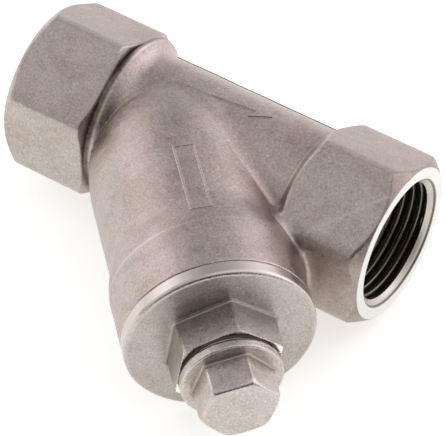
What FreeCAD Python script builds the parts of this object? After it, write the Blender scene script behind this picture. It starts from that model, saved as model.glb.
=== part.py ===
import FreeCAD, Part
import os
import Sketcher

# ---------------------------------------------------------------------------
# Y strainer, G 3/4, investment-cast stainless steel, screwed bonnet with drain plug.
#
# Row frame, millimetres: the origin is the centre of the inlet end face, +X runs
# along the pipe axis in the direction of flow, +Z is up and square to the plane
# that holds the pipe axis and the branch axis.  The branch leaves the pipe axis
# at branch_x and runs at 45 degrees towards +X and -Y.
# "along" is the distance on the branch axis from that crossing point.
# ---------------------------------------------------------------------------

doc = FreeCAD.newDocument("y_strainer")
sheet = doc.addObject("Spreadsheet::Sheet", "Params")

VALUES = [
    # pipe run
    ("run_length", 80.0, "face to face length"),
    ("hex_flats", 31.5, "width across flats of both end hexagons"),
    ("hex_length", 18.7, "length of each end hexagon"),
    ("cone_radius", 15.5, "radius where the corner cones start on the end planes"),
    ("cone_face", 2.4, "axial depth of the cone at the corners, outer ends"),
    ("cone_inlet", 1.4, "axial depth of the cone at the corners, inner end of the inlet hexagon"),
    ("cone_outlet", 2.2, "axial depth of the cone at the corners, inner end of the outlet hexagon"),
    ("tube_radius", 14.2, "outer radius of the run between the hexagons"),
    ("bead_radius", 16.4, "radius of the rounded bead behind the inlet hexagon"),
    ("neck_radius", 15.6, "radius of the small groove between the hexagon and the bead"),
    ("bead_start", 19.0, "start of the bead"),
    ("bead_end", 22.1, "end of the bead"),
    # pipe threads, G 3/4 (ISO 228-1)
    ("thread_major", 26.441, "major diameter of the internal pipe thread"),
    ("thread_minor", 24.117, "minor diameter of the internal pipe thread"),
    ("thread_end", 15.5, "depth of the threaded bore"),
    ("mouth_step", 0.18, "how far the mouth chamfer reaches past the major radius"),
    ("port_radius", 10.0, "radius of the waterway behind the threads"),
    ("port_start", 17.6, "depth where the waterway reaches its full narrowing"),
    # branch barrel
    ("branch_x", 26.58, "crossing point of the branch axis and the pipe axis"),
    ("root_half", 0.70710678, "sine and cosine of the 45 degree branch angle"),
    ("barrel_start", 1.2, "start of the barrel along the branch axis"),
    ("shoulder_radius", 14.15, "radius of the barrel's tapered shoulder at its start"),
    ("shoulder_end", 10.66, "where the shoulder reaches the barrel's full radius"),
    ("barrel_radius", 16.8, "outer radius of the barrel"),
    ("step_start", 34.8, "start of the step up to the collar"),
    ("step_end", 39.4, "end of the step up to the collar"),
    ("collar_radius", 18.1, "radius of the collar around the bonnet thread"),
    ("mouth_along", 50.5, "mouth plane of the branch"),
    # screen chamber
    ("wall_in", 2.0, "inlet side of the inner dividing wall"),
    ("wall_out", 5.5, "outlet side of the inner dividing wall"),
    ("seat_floor", 4.0, "floor of the recess that seats the screen"),
    ("seat_radius", 11.9, "radius of that recess"),
    ("seat_hole", 9.2, "radius of the hole through the dividing wall"),
    ("chamber_neck", 12.7, "radius of the chamber's tapered inner end"),
    ("chamber_full", 10.9, "where the chamber reaches its full radius"),
    ("chamber_radius", 14.2, "radius of the screen chamber, minor radius of M30x1.5"),
    ("bonnet_bore", 14.55, "pitch radius of the bonnet thread with its play"),
    ("bonnet_bore_start", 39.8, "inner end of the bonnet thread"),
    ("gasket_recess", 16.6, "radius of the gasket recess in the mouth"),
    ("gasket_floor", 49.3, "floor of the gasket recess"),
    # bonnet (cap)
    ("spigot_start", 41.5, "inner end of the bonnet's threaded spigot"),
    ("spigot_radius", 14.47, "pitch radius of the bonnet's thread"),
    ("spigot_bore", 12.2, "bore that holds the screen's lower ring"),
    ("spigot_floor", 49.9, "floor of that bore"),
    ("flange_start", 50.52, "underside of the bonnet's round flange"),
    ("flange_end", 53.6, "outer face of the flange"),
    ("flange_radius", 18.2, "radius of the flange"),
    ("flange_edge", 0.7, "bevel on the flange's outer edge"),
    ("cap_flats", 19.0, "width across flats of the bonnet's hexagon"),
    ("cap_hex_end", 60.7, "outer face of the bonnet's hexagon"),
    ("cap_hex_turn", 50.8, "how far the bonnet's hexagon is turned, degrees"),
    ("drain_bore", 6.15, "pitch radius of the G 1/4 drain thread"),
    ("drain_mouth", 6.9, "radius of the drain thread's mouth chamfer"),
    # seals
    ("seal_inner", 14.8, "inner radius of the bonnet gasket"),
    ("seal_outer", 16.4, "outer radius of the bonnet gasket"),
    ("seal_start", 49.34, "inner side of the bonnet gasket"),
    ("seal_end", 50.50, "outer side of the bonnet gasket"),
    ("washer_inner", 6.7, "inner radius of the drain plug's washer"),
    ("washer_outer", 8.9, "outer radius of the drain plug's washer"),
    ("washer_start", 60.72, "inner side of the drain plug's washer"),
    ("washer_end", 61.26, "outer side of the drain plug's washer"),
    # screen
    ("screen_start", 5.3, "upper end of the screen tube"),
    ("screen_end", 48.6, "lower end of the screen tube"),
    ("screen_radius", 11.2, "outer radius of the perforated tube"),
    ("screen_wall", 0.5, "thickness of the perforated sheet"),
    ("mesh_wall", 0.3, "thickness of the woven liner"),
    ("ring_top_start", 4.06, "upper ring, end that sits in the seat"),
    ("ring_top_end", 7.3, "upper ring, other end"),
    ("ring_bottom_start", 46.6, "lower ring, inner end"),
    ("ring_bottom_end", 49.8, "lower ring, end that sits in the bonnet"),
    ("ring_radius", 11.65, "outer radius of both rings"),
    ("ring_lip", 9.7, "inner radius of the rings' turned-in lips"),
    ("ring_lip_wall", 1.2, "thickness of the lips"),
    # drain plug
    ("plug_start", 52.0, "inner end of the plug's thread"),
    ("plug_radius", 6.08, "pitch radius of the plug's thread"),
    ("plug_collar", 9.65, "radius of the plug's collar"),
    ("plug_collar_start", 61.28, "underside of the collar"),
    ("plug_collar_end", 63.6, "outer side of the collar"),
    ("plug_collar_edge", 0.5, "bevel of the collar"),
    ("plug_flats", 13.6, "width across flats of the plug's hexagon"),
    ("plug_hex_end", 70.4, "outer end of the plug's hexagon"),
    ("plug_crown", 0.6, "height of the rounded end"),
    ("plug_hex_turn", 41.4, "how far the plug's hexagon is turned, degrees"),
]

for row, (name, value, note) in enumerate(VALUES, start=1):
    sheet.set("A%d" % row, name)
    sheet.set("B%d" % row, repr(value))
    sheet.setAlias("B%d" % row, name)
    sheet.set("C%d" % row, note)
doc.recompute()


class Dim(object):
    """A length with its present value and the sheet expression that gives it."""

    def __init__(self, value, text):
        self.v, self.t = value, text

    def __add__(self, o):
        o = dim(o)
        return Dim(self.v + o.v, "(%s + %s)" % (self.t, o.t))

    def __radd__(self, o):
        return dim(o) + self

    def __sub__(self, o):
        o = dim(o)
        return Dim(self.v - o.v, "(%s - %s)" % (self.t, o.t))

    def __rsub__(self, o):
        return dim(o) - self

    def __mul__(self, o):
        o = dim(o)
        return Dim(self.v * o.v, "(%s * %s)" % (self.t, o.t))

    def __rmul__(self, o):
        return dim(o) * self

    def __truediv__(self, o):
        o = dim(o)
        return Dim(self.v / o.v, "(%s / %s)" % (self.t, o.t))

    def __neg__(self):
        return Dim(-self.v, "(0 - %s)" % self.t)


def dim(o):
    return o if isinstance(o, Dim) else Dim(float(o), repr(float(o)))


P = {name: Dim(float(value), "Params." + name) for name, value, note in VALUES}
ROOT_THREE = 1.7320508


def plane_of(body, role):
    for f in body.Origin.OriginFeatures:
        if f.Role == role:
            return f
    raise RuntimeError("no origin plane " + role)


def new_sketch(body, name, role="XY_Plane", offset=None):
    sk = body.newObject("Sketcher::SketchObject", name)
    sk.AttachmentSupport = [(plane_of(body, role), "")]
    sk.MapMode = "FlatFace"
    if offset is not None:
        sk.setExpression(".AttachmentOffset.Base.z", offset.t)
    return sk


def polygon(sk, points):
    """Closed outline through points, each held to its own pair of sheet values."""
    n = len(points)
    first = len(sk.Geometry)
    vec = [FreeCAD.Vector(a.v, b.v, 0) for a, b in points]
    for i in range(n):
        sk.addGeometry(Part.LineSegment(vec[i], vec[(i + 1) % n]), False)
    for i in range(n):
        sk.addConstraint(Sketcher.Constraint("Coincident", first + i, 2, first + (i + 1) % n, 1))
    for i, (a, b) in enumerate(points):
        for kind, value, axis in (("DistanceX", a, "x"), ("DistanceY", b, "y")):
            c = sk.addConstraint(Sketcher.Constraint(kind, first + i, 1, value.v))
            label = "%s_%d" % (axis, first + i)
            sk.renameConstraint(c, label)
            sk.setExpression("Constraints." + label, value.t)


def axis_line(sk, start, end):
    """Construction line that a revolution turns about."""
    g = sk.addGeometry(
        Part.LineSegment(FreeCAD.Vector(start[0].v, start[1].v, 0), FreeCAD.Vector(end[0].v, end[1].v, 0)), True)
    for pos, pt in ((1, start), (2, end)):
        for kind, value, axis in (("DistanceX", pt[0], "ax"), ("DistanceY", pt[1], "ay")):
            c = sk.addConstraint(Sketcher.Constraint(kind, g, pos, value.v))
            label = "%s_%d" % (axis, pos)
            sk.renameConstraint(c, label)
            sk.setExpression("Constraints." + label, value.t)


def on_branch(along, out):
    """Point of the plane XY at a distance along the branch axis and out from it."""
    along, out = dim(along), dim(out)
    return (P["branch_x"] + (along + out) * P["root_half"], (out - along) * P["root_half"])


def revolve(body, kind, name, points, branch=False):
    sk = new_sketch(body, name + "_profile")
    if branch:
        axis_line(sk, on_branch(0.0, 0.0), on_branch(60.0, 0.0))
        polygon(sk, [on_branch(a, r) for a, r in points])
    else:
        polygon(sk, [(dim(a), dim(r)) for a, r in points])
    f = body.newObject("PartDesign::" + kind, name)
    f.Profile = sk
    f.ReferenceAxis = (sk, ["Axis0"]) if branch else (sk, ["H_Axis"])
    f.Angle = 360.0
    sk.Visibility = False
    doc.recompute()
    return f


def hexagon(flats):
    """Corners of a hexagon that stands on a corner."""
    r = flats / ROOT_THREE
    return [(dim(0.0), r), (-flats / 2.0, r / 2.0), (-flats / 2.0, -r / 2.0), (dim(0.0), -r),
            (flats / 2.0, -r / 2.0), (flats / 2.0, r / 2.0)]


def pad_hexagon(body, name, flats, start, length):
    sk = new_sketch(body, name + "_profile", "YZ_Plane", offset=start)
    polygon(sk, hexagon(flats))
    f = body.newObject("PartDesign::Pad", name)
    f.Profile = sk
    f.setExpression("Length", length.t)
    sk.Visibility = False
    doc.recompute()
    return f


def grew(before, body, what, more=True):
    v = body.Shape.Volume
    if (v > before + 1e-3) != more or abs(v - before) < 1e-3:
        raise RuntimeError("%s changed the volume the wrong way: %.2f to %.2f" % (what, before, v))
    return v


# ---------------------------------------------------------------------------
# 1. body: the casting, outside first
# ---------------------------------------------------------------------------
casting = doc.addObject("PartDesign::Body", "casting")
run, hexl = P["run_length"], P["hex_length"]
revolve(casting, "Revolution", "tube", [(0.0, 0.0), (0.0, P["tube_radius"]), (run, P["tube_radius"]), (run, 0.0)])
vol = casting.Shape.Volume
pad_hexagon(casting, "inlet_hexagon", P["hex_flats"], dim(0.0), hexl)
vol = grew(vol, casting, "inlet_hexagon")
pad_hexagon(casting, "outlet_hexagon", P["hex_flats"], run - hexl, hexl)
vol = grew(vol, casting, "outlet_hexagon")

corner = P["hex_flats"] / ROOT_THREE
over = corner + 1.0
for name, at, sign, depth in (("cone_inlet_face", dim(0.0), 1.0, P["cone_face"]),
                              ("cone_inlet_inner", hexl, -1.0, P["cone_inlet"]),
                              ("cone_outlet_inner", run - hexl, 1.0, P["cone_outlet"]),
                              ("cone_outlet_face", run, -1.0, P["cone_face"])):
    reach = depth * (over - P["cone_radius"]) / (corner - P["cone_radius"])
    far = at + reach if sign > 0 else at - reach
    revolve(casting, "Groove", name, [(at, P["cone_radius"]), (at, over), (far, over)])
    vol = grew(vol, casting, name, more=False)

revolve(casting, "Revolution", "bead", [
    (hexl - 0.5, P["tube_radius"] - 1.0), (hexl - 0.5, P["neck_radius"]), (P["bead_start"], P["neck_radius"]),
    (P["bead_start"] + 0.4, P["bead_radius"]), (P["bead_start"] + 0.8, P["bead_radius"]),
    (P["bead_end"], P["tube_radius"]), (P["bead_end"], P["tube_radius"] - 1.0)])
vol = grew(vol, casting, "bead")

revolve(casting, "Revolution", "barrel", [
    (P["barrel_start"], 0.0), (P["barrel_start"], P["shoulder_radius"]),
    (P["shoulder_end"], P["barrel_radius"]), (P["step_start"], P["barrel_radius"]),
    (P["step_end"], P["collar_radius"]), (P["mouth_along"] - 0.4, P["collar_radius"]),
    (P["mouth_along"], P["collar_radius"] - 0.4), (P["mouth_along"], 0.0)], branch=True)
vol = grew(vol, casting, "barrel")

# screen chamber, seat, bonnet bore and gasket recess, all turned about the branch axis
revolve(casting, "Groove", "chamber", [
    (1.0, 0.0), (1.0, P["seat_hole"]), (P["seat_floor"], P["seat_hole"]), (P["seat_floor"], P["seat_radius"]),
    (P["wall_out"], P["seat_radius"]), (P["wall_out"], P["chamber_neck"]), (P["chamber_full"], P["chamber_radius"]),
    (P["bonnet_bore_start"], P["chamber_radius"]), (P["bonnet_bore_start"] + 0.35, P["bonnet_bore"]),
    (P["gasket_floor"], P["bonnet_bore"]), (P["gasket_floor"], P["gasket_recess"]),
    (P["mouth_along"] + 1.0, P["gasket_recess"]), (P["mouth_along"] + 1.0, 0.0)], branch=True)
vol = grew(vol, casting, "chamber", more=False)

# threaded mouths, bored to the pipe thread's minor diameter, the diameter of its crests
minor = P["thread_minor"] / 2.0
mouth = P["thread_major"] / 2.0 + P["mouth_step"]
for end, face, sign in (("inlet", dim(0.0), 1.0), ("outlet", run, -1.0)):
    def at(depth, sign=sign, face=face):
        return face + dim(depth) if sign > 0 else face - dim(depth)
    revolve(casting, "Groove", end + "_bore", [
        (at(-0.5), 0.0), (at(-0.5), mouth + 0.5), (at(mouth - minor), minor),
        (at(P["thread_end"]), minor), (at(P["port_start"]), P["port_radius"]), (at(P["port_start"]), 0.0)])
    vol = grew(vol, casting, end + "_bore", more=False)


# the two waterways, each ended by the slanting inner wall
def turned_box(name, along_start, along_length):
    box = doc.addObject("Part::Box", name)
    for prop, value in (("Length", along_length), ("Width", dim(120.0)), ("Height", dim(120.0))):
        box.setExpression(prop, value.t)
    box.Placement = FreeCAD.Placement(FreeCAD.Vector(0, 0, -60), FreeCAD.Rotation(FreeCAD.Vector(0, 0, 1), -45))
    x, y = on_branch(along_start, dim(-60.0))
    box.setExpression("Placement.Base.x", x.t)
    box.setExpression("Placement.Base.y", y.t)
    return box


def pipe_cylinder(name, radius, start, length):
    c = doc.addObject("Part::Cylinder", name)
    c.setExpression("Radius", radius.t)
    c.setExpression("Height", length.t)
    c.Placement = FreeCAD.Placement(FreeCAD.Vector(0, 0, 0), FreeCAD.Rotation(FreeCAD.Vector(0, 1, 0), 90))
    c.setExpression("Placement.Base.x", start.t)
    return c


ways = []
for end, start, length, box_start, box_length in (
        ("inlet", P["port_start"] - 0.5, dim(40.0), P["wall_in"] - 80.0, dim(80.0)),
        ("outlet", dim(25.0), run - P["port_start"] + 0.5 - 25.0, P["wall_out"], dim(80.0))):
    pipe = pipe_cylinder(end + "_pipe", P["port_radius"], start, length)
    side = turned_box(end + "_side", box_start, box_length)
    way = doc.addObject("Part::Common", end + "_way")
    way.Base, way.Tool = pipe, side
    ways.append(way)
waterways = doc.addObject("Part::MultiFuse", "waterways")
waterways.Shapes = ways
doc.recompute()
body = doc.addObject("Part::Cut", "strainer_body")
body.Base, body.Tool = casting, waterways
doc.recompute()
grew(vol, body, "waterways", more=False)
body.Label = "body"


# ---------------------------------------------------------------------------
# The pieces on the branch axis are drawn about their own X axis, whose origin is
# the crossing point of the two axes, and then placed on the branch.
# ---------------------------------------------------------------------------
def on_branch_axis(obj):
    obj.Placement = FreeCAD.Placement(FreeCAD.Vector(P["branch_x"].v, 0, 0), FreeCAD.Rotation(FreeCAD.Vector(0, 0, 1), -45))
    obj.setExpression("Placement.Base.x", "Params.branch_x")


def turned_part(label, profiles):
    b = doc.addObject("PartDesign::Body", label + "_body")
    for i, pts in enumerate(profiles):
        revolve(b, "Revolution", "%s_turn_%s" % (label, "abc"[i]), pts)
    b.Label = label
    return b


def pad_turned_hexagon(b, name, flats, start, length, turn):
    """Hexagon about the X axis, turned by a sheet angle from standing on a corner."""
    sk = b.newObject("Sketcher::SketchObject", name + "_profile")
    sk.AttachmentSupport = [(plane_of(b, "YZ_Plane"), "")]
    sk.MapMode = "FlatFace"
    sk.setExpression(".AttachmentOffset.Base.z", start.t)
    sk.AttachmentOffset = FreeCAD.Placement(FreeCAD.Vector(0, 0, start.v),
                                            FreeCAD.Rotation(FreeCAD.Vector(0, 0, 1), turn.v))
    sk.setExpression(".AttachmentOffset.Rotation.Angle", turn.t)
    polygon(sk, hexagon(flats))
    f = b.newObject("PartDesign::Pad", name)
    f.Profile = sk
    f.setExpression("Length", length.t)
    sk.Visibility = False
    doc.recompute()
    return f


# 2. cap: threaded spigot, round flange, hexagon, drain thread
cap = doc.addObject("PartDesign::Body", "cap_body")
edge = P["flange_edge"]
revolve(cap, "Revolution", "spigot_and_flange", [
    (P["spigot_start"], 0.0), (P["spigot_start"], P["spigot_radius"] - 0.8), (P["spigot_start"] + 0.8, P["spigot_radius"]),
    (P["flange_start"], P["spigot_radius"]), (P["flange_start"], P["flange_radius"] - 0.4),
    (P["flange_start"] + 0.4, P["flange_radius"]), (P["flange_end"] - edge, P["flange_radius"]),
    (P["flange_end"], P["flange_radius"] - edge), (P["flange_end"], 0.0)])
vol = cap.Shape.Volume
pad_turned_hexagon(cap, "cap_hexagon", P["cap_flats"], P["flange_end"] - 0.5,
                   P["cap_hex_end"] - P["flange_end"] + 0.5, P["cap_hex_turn"])
vol = grew(vol, cap, "cap_hexagon")
revolve(cap, "Groove", "cap_bores", [
    (P["spigot_start"] - 1.0, 0.0), (P["spigot_start"] - 1.0, P["spigot_bore"]), (P["spigot_floor"], P["spigot_bore"]),
    (P["spigot_floor"], P["drain_bore"]), (P["cap_hex_end"] - 0.75, P["drain_bore"]),
    (P["cap_hex_end"], P["drain_mouth"]), (P["cap_hex_end"] + 1.0, P["drain_mouth"]), (P["cap_hex_end"] + 1.0, 0.0)])
vol = grew(vol, cap, "cap_bores", more=False)
cap.Label = "cap"
on_branch_axis(cap)

# 3, 4. flat PTFE seals
cap_gasket = turned_part("cap_gasket", [[
    (P["seal_start"], P["seal_inner"]), (P["seal_start"], P["seal_outer"]),
    (P["seal_end"], P["seal_outer"]), (P["seal_end"], P["seal_inner"])]])
plug_gasket = turned_part("plug_gasket", [[
    (P["washer_start"], P["washer_inner"]), (P["washer_start"], P["washer_outer"]),
    (P["washer_end"], P["washer_outer"]), (P["washer_end"], P["washer_inner"])]])

# 5-8. screen: perforated tube, woven liner, two end rings that clasp the sheet
outer, inner = P["screen_radius"], P["screen_radius"] - P["screen_wall"]
liner = inner - P["mesh_wall"]
lip, lipw = P["ring_lip"], P["ring_lip_wall"]
screen_tube = turned_part("screen_tube", [[
    (P["screen_start"], inner), (P["screen_start"], outer), (P["screen_end"], outer), (P["screen_end"], inner)]])
screen_mesh = turned_part("screen_mesh", [[
    (P["screen_start"], liner), (P["screen_start"], inner), (P["screen_end"], inner), (P["screen_end"], liner)]])
screen_upper_ring = turned_part("screen_upper_ring", [[
    (P["ring_top_start"], lip), (P["ring_top_start"], P["ring_radius"]), (P["ring_top_end"], P["ring_radius"]),
    (P["ring_top_end"], outer), (P["ring_top_start"] + lipw, outer), (P["ring_top_start"] + lipw, lip)]])
screen_lower_ring = turned_part("screen_lower_ring", [[
    (P["ring_bottom_end"], lip), (P["ring_bottom_end"], P["ring_radius"]), (P["ring_bottom_start"], P["ring_radius"]),
    (P["ring_bottom_start"], outer), (P["ring_bottom_end"] - lipw, outer), (P["ring_bottom_end"] - lipw, lip)]])

# 9. drain plug: thread, collar, hexagon with a slightly rounded end
plug = doc.addObject("PartDesign::Body", "plug_body")
cedge = P["plug_collar_edge"]
revolve(plug, "Revolution", "plug_stem_and_collar", [
    (P["plug_start"], 0.0), (P["plug_start"], P["plug_radius"] - 0.7), (P["plug_start"] + 0.7, P["plug_radius"]),
    (P["plug_collar_start"], P["plug_radius"]), (P["plug_collar_start"], P["plug_collar"]),
    (P["plug_collar_end"] - cedge, P["plug_collar"]), (P["plug_collar_end"], P["plug_collar"] - cedge),
    (P["plug_collar_end"], 0.0)])
vol = plug.Shape.Volume
pad_turned_hexagon(plug, "plug_hexagon", P["plug_flats"], P["plug_collar_end"] - 0.5,
                   P["plug_hex_end"] + P["plug_crown"] - P["plug_collar_end"] + 0.5, P["plug_hex_turn"])
vol = grew(vol, plug, "plug_hexagon")
plug_corner = P["plug_flats"] / ROOT_THREE
revolve(plug, "Groove", "plug_crown_cut", [
    (P["plug_hex_end"] + P["plug_crown"], P["plug_flats"] / 2.0 - 0.9),
    (P["plug_hex_end"] + P["plug_crown"], plug_corner + 1.0),
    (P["plug_hex_end"] - P["plug_crown"], plug_corner + 1.0)])
grew(vol, plug, "plug_crown_cut", more=False)
plug.Label = "drain_plug"

for b in (cap_gasket, plug_gasket, screen_tube, screen_mesh, screen_upper_ring, screen_lower_ring, plug):
    on_branch_axis(b)

doc.recompute()

# ---------------------------------------------------------------------------
# tests, then one STEP file for each sub-part
# ---------------------------------------------------------------------------
for obj in doc.Objects:
    if "Invalid" in obj.State or "Error" in obj.State:
        raise RuntimeError("%s did not compute: %s" % (obj.Name, obj.State))

NODES = [body, cap, cap_gasket, plug_gasket, screen_tube, screen_mesh, screen_upper_ring, screen_lower_ring, plug]
for obj in NODES:
    shape = obj.Shape
    if shape.isNull() or not shape.isValid() or len(shape.Solids) != 1:
        raise RuntimeError("%s has no single valid solid" % obj.Label)

os.makedirs("parts", exist_ok=True)
for obj in NODES:
    obj.Shape.exportStep("parts/%s.step" % obj.Label)
    bb = obj.Shape.BoundBox
    print("%-18s volume %10.1f  x %.2f..%.2f  y %.2f..%.2f  z %.2f..%.2f" % (
        obj.Label, obj.Shape.Volume, bb.XMin, bb.XMax, bb.YMin, bb.YMax, bb.ZMin, bb.ZMax))
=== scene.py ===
import math

import bpy
import numpy as np
import openvdb
from mathutils import Matrix, Vector


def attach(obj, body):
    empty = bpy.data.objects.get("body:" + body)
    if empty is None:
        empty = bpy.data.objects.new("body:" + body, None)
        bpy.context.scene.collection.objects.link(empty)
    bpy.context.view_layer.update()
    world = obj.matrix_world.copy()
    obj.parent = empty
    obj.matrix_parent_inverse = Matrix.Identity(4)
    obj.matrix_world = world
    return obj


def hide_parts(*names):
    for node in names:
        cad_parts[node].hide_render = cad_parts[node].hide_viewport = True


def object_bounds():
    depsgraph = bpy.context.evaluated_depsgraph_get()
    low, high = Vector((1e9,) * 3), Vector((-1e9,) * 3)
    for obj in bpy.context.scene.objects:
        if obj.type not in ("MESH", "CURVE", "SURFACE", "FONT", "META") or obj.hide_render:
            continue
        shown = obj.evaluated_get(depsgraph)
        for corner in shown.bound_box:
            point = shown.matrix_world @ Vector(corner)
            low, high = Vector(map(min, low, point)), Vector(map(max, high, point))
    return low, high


# ---------------------------------------------------------------------------
# Y strainer.  Every length below is in millimetres in the row frame: origin at the
# centre of the inlet end face, +X along the pipe in the direction of flow, +Z up.
# Vertices are turned into metres when a mesh is made.
# "s" is the distance on the branch axis from where it crosses the pipe axis, "p" the
# distance across it in the XY plane.
# ---------------------------------------------------------------------------
MM = 0.001
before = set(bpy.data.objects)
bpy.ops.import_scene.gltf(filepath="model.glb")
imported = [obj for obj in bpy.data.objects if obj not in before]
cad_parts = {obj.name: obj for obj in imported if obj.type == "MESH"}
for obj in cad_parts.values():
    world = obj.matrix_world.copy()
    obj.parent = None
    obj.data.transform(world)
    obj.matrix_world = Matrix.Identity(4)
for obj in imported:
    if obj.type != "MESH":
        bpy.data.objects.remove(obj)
cad_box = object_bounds()

# >>> shape
C45 = 0.70710678
BX = 26.58
F = np.float32


def ru(a, b, k):
    """Union with a fillet of radius k in the corner between the two."""
    u, v = np.maximum(k - a, 0), np.maximum(k - b, 0)
    return np.maximum(k, np.minimum(a, b)) - np.sqrt(u * u + v * v)


def ri(a, b, k):
    """Intersection with its edge rounded to radius k."""
    u, v = np.maximum(k + a, 0), np.maximum(k + b, 0)
    return np.minimum(-k, np.maximum(a, b)) + np.sqrt(u * u + v * v)


def cut(a, b, k):
    return ri(a, -b, k)


def soft_max(a, b, k):
    """Intersection of two surfaces that meet at a shallow angle, eased over the band where they differ by k."""
    h = np.maximum(k - np.abs(a - b), 0) / k
    return np.maximum(a, b) + h * h * (k * 0.25)


def length2(a, b):
    return np.sqrt(a * a + b * b)


def on_cone(r, a, r0, a0, slope):
    """Signed distance to the cone through (a0, r0) whose radius grows by slope per millimetre of a."""
    return (r - r0 - slope * (a - a0)) / math.sqrt(1 + slope * slope)


def to_branch(x, y):
    return ((x - BX) - y) * C45, ((x - BX) + y) * C45


def from_branch(s, p):
    return BX + (s + p) * C45, (p - s) * C45


def hexagon(y, z, flats, corners, k):
    """Hexagon standing on a corner; corners gives how far each corner reaches, from +Z towards -Y."""
    d = None
    for deg in (30, 90, 150):
        a = math.radians(deg)
        e = np.abs(-math.sin(a) * y + math.cos(a) * z) - flats / 2
        d = e if d is None else ri(d, e, k)
    for i, reach in enumerate(corners):
        a = math.radians(60 * i)
        d = ri(d, -math.sin(a) * y + math.cos(a) * z - reach, k)
    return d


def waves(x, y, z):
    """The slight unevenness of a cast surface."""
    w = 0.022 * np.sin(0.52 * x + 1.3) * np.sin(0.61 * y + 0.4)
    w = w + 0.020 * np.sin(0.47 * y + 2.1 + 0.21 * x) * np.sin(0.58 * z + 0.9)
    w = w + 0.018 * np.sin(0.66 * z + 0.2) * np.sin(0.43 * x + 2.6 + 0.3 * y)
    w = w + 0.007 * np.sin(1.9 * x + 0.7 * z) * np.sin(1.7 * y + 1.1 * z)
    return w


def soft_min(a, b, k):
    return -soft_max(-a, -b, k)


def tube(x, y, z, rr):
    return np.maximum(rr - F(14.2), np.abs(x - 40) - 26)


def barrel(s, rb):
    b = soft_max(rb - F(16.8), on_cone(rb, s, 14.15, 1.2, 0.28), 1.2)
    b = np.maximum(np.maximum(b, s - 44), -0.5 - s)
    flare = soft_max(on_cone(rb, s, 16.8, 33.6, 0.30), on_cone(rb, s, 17.73, 36.6, 0.15), 0.3)
    flare = soft_max(flare, rb - F(18.14), 0.12)
    b = soft_min(b, np.maximum(flare, 30.0 - s), 0.7)
    return ri(b, s - F(50.44), 0.28)


def left_end(x, y, z, rr):
    h = hexagon(y, z, 31.5, (17.92, 17.62, 18.1, 17.9, 17.9, 17.66), 0.75)
    h = ri(h, on_cone(rr, x, 15.62, 0.0, 1.06), 0.35)
    h = ri(h, on_cone(rr, x, 15.75, 18.35, -2.22), 0.3)
    h = ri(h, 0.05 - x, 0.05)
    return ri(h, x - 18.85, 0.15)


def left_bead(x, y, rr):
    """Rounded bead behind the inlet hexagon, with the narrow groove between them."""
    b = ri(rr - (16.6 - 1.3 * np.clip((2.0 - y) / 12.0, 0, 1)), on_cone(rr, x, 14.2, 21.15, -1.6), 0.6)
    b = ri(b, on_cone(rr, x, 15.9, 18.75, 2.3), 0.2)
    return np.maximum(b, 17.5 - x)


def right_end(x, y, z, rr):
    h = hexagon(y, z, 31.5, (17.92, 17.62, 18.1, 17.9, 17.9, 17.85), 0.75)
    h = ri(h, on_cone(rr, x, 15.62, 80.0, -1.02), 0.35)
    h = ri(h, on_cone(rr, x, 15.75, 61.25, 1.25), 0.35)
    h = ri(h, x - 79.95, 0.05)
    return np.maximum(h, 59.6 - x)


def outside(x, y, z):
    """The casting with all its outer fillets, before any bore."""
    rr = length2(y, z)
    s, p = to_branch(x, y)
    rb = length2(p, z)
    t, b = tube(x, y, z, rr), barrel(s, rb)
    le, lb, re = left_end(x, y, z, rr), left_bead(x, y, rr), right_end(x, y, z, rr)
    d = ru(t, b, 0.4 + 1.2 * np.clip((p - 3.0) / 5.0, 0, 1))
    d = np.minimum(d, ru(b, re, 2.4))
    d = np.minimum(d, ru(t, re, 0.35))
    d = np.minimum(d, ru(t, lb, 1.7))
    d = np.minimum(d, ru(b, np.minimum(le, lb), 0.25))
    d = np.minimum(d, np.minimum(le, lb))
    return d + waves(x, y, z)


def hollow(x, y, z):
    """Everything that is bored out or cored."""
    rr = length2(y, z)
    s, p = to_branch(x, y)
    rb = length2(p, z)
    room = ri(soft_max(rb - F(14.2), on_cone(rb, s, 12.7, 5.5, 0.278), 0.8), 5.5 - s, 0.4)
    seat = ri(rb - F(11.9), 4.0 - s, 0.15)
    hole = ri(rb - F(9.2), 1.0 - s, 0.2)
    room = ru(ru(room, seat, 0.1), hole, 0.2)
    mouth = np.maximum(rb - F(15.3), 39.6 - s)
    recess = np.maximum(rb - F(16.6), 49.3 - s)
    room = np.minimum(np.minimum(room, mouth), recess)
    inlet = ri(rr - F(10.0), s - F(2.0), 0.8)
    outlet = ri(rr - F(10.0), 5.5 - s, 0.8)
    inlet = np.maximum(inlet, x - 60)
    outlet = np.maximum(outlet, 25 - x)
    ways = np.minimum(inlet, outlet)
    for a in (x, 80 - x):
        ways = np.minimum(ways, np.maximum(np.maximum(on_cone(rr, a, 12.06, 15.5, -0.98), rr - F(12.06)), a - 20.0))
        ways = np.minimum(ways, np.maximum(rr - F(13.7), a - 15.48))
    return np.minimum(room, ways)


def casting(x, y, z):
    return cut(outside(x, y, z), hollow(x, y, z), 0.12)


# <<< shape


# ---------------------------------------------------------------------------
# meshes from shapes
# ---------------------------------------------------------------------------
def slope_of(f, v, e=0.02):
    g = np.empty_like(v)
    for i in range(3):
        hi, lo = v.copy(), v.copy()
        hi[:, i] += e
        lo[:, i] -= e
        g[:, i] = (f(hi[:, 0], hi[:, 1], hi[:, 2]) - f(lo[:, 0], lo[:, 1], lo[:, 2])) / (2 * e)
    return g


def settle(f, v, h, rounds=3):
    """Moves vertices onto the surface."""
    v = v.astype(np.float64)
    for _ in range(rounds):
        d = f(v[:, 0], v[:, 1], v[:, 2])
        g = slope_of(f, v)
        n2 = np.maximum((g * g).sum(1), 0.25)
        step = (d / n2)[:, None] * g
        size = np.linalg.norm(step, axis=1)
        step *= np.minimum(1, 0.5 * h / np.maximum(size, 1e-9))[:, None]
        v = v - step
    return v


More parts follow.
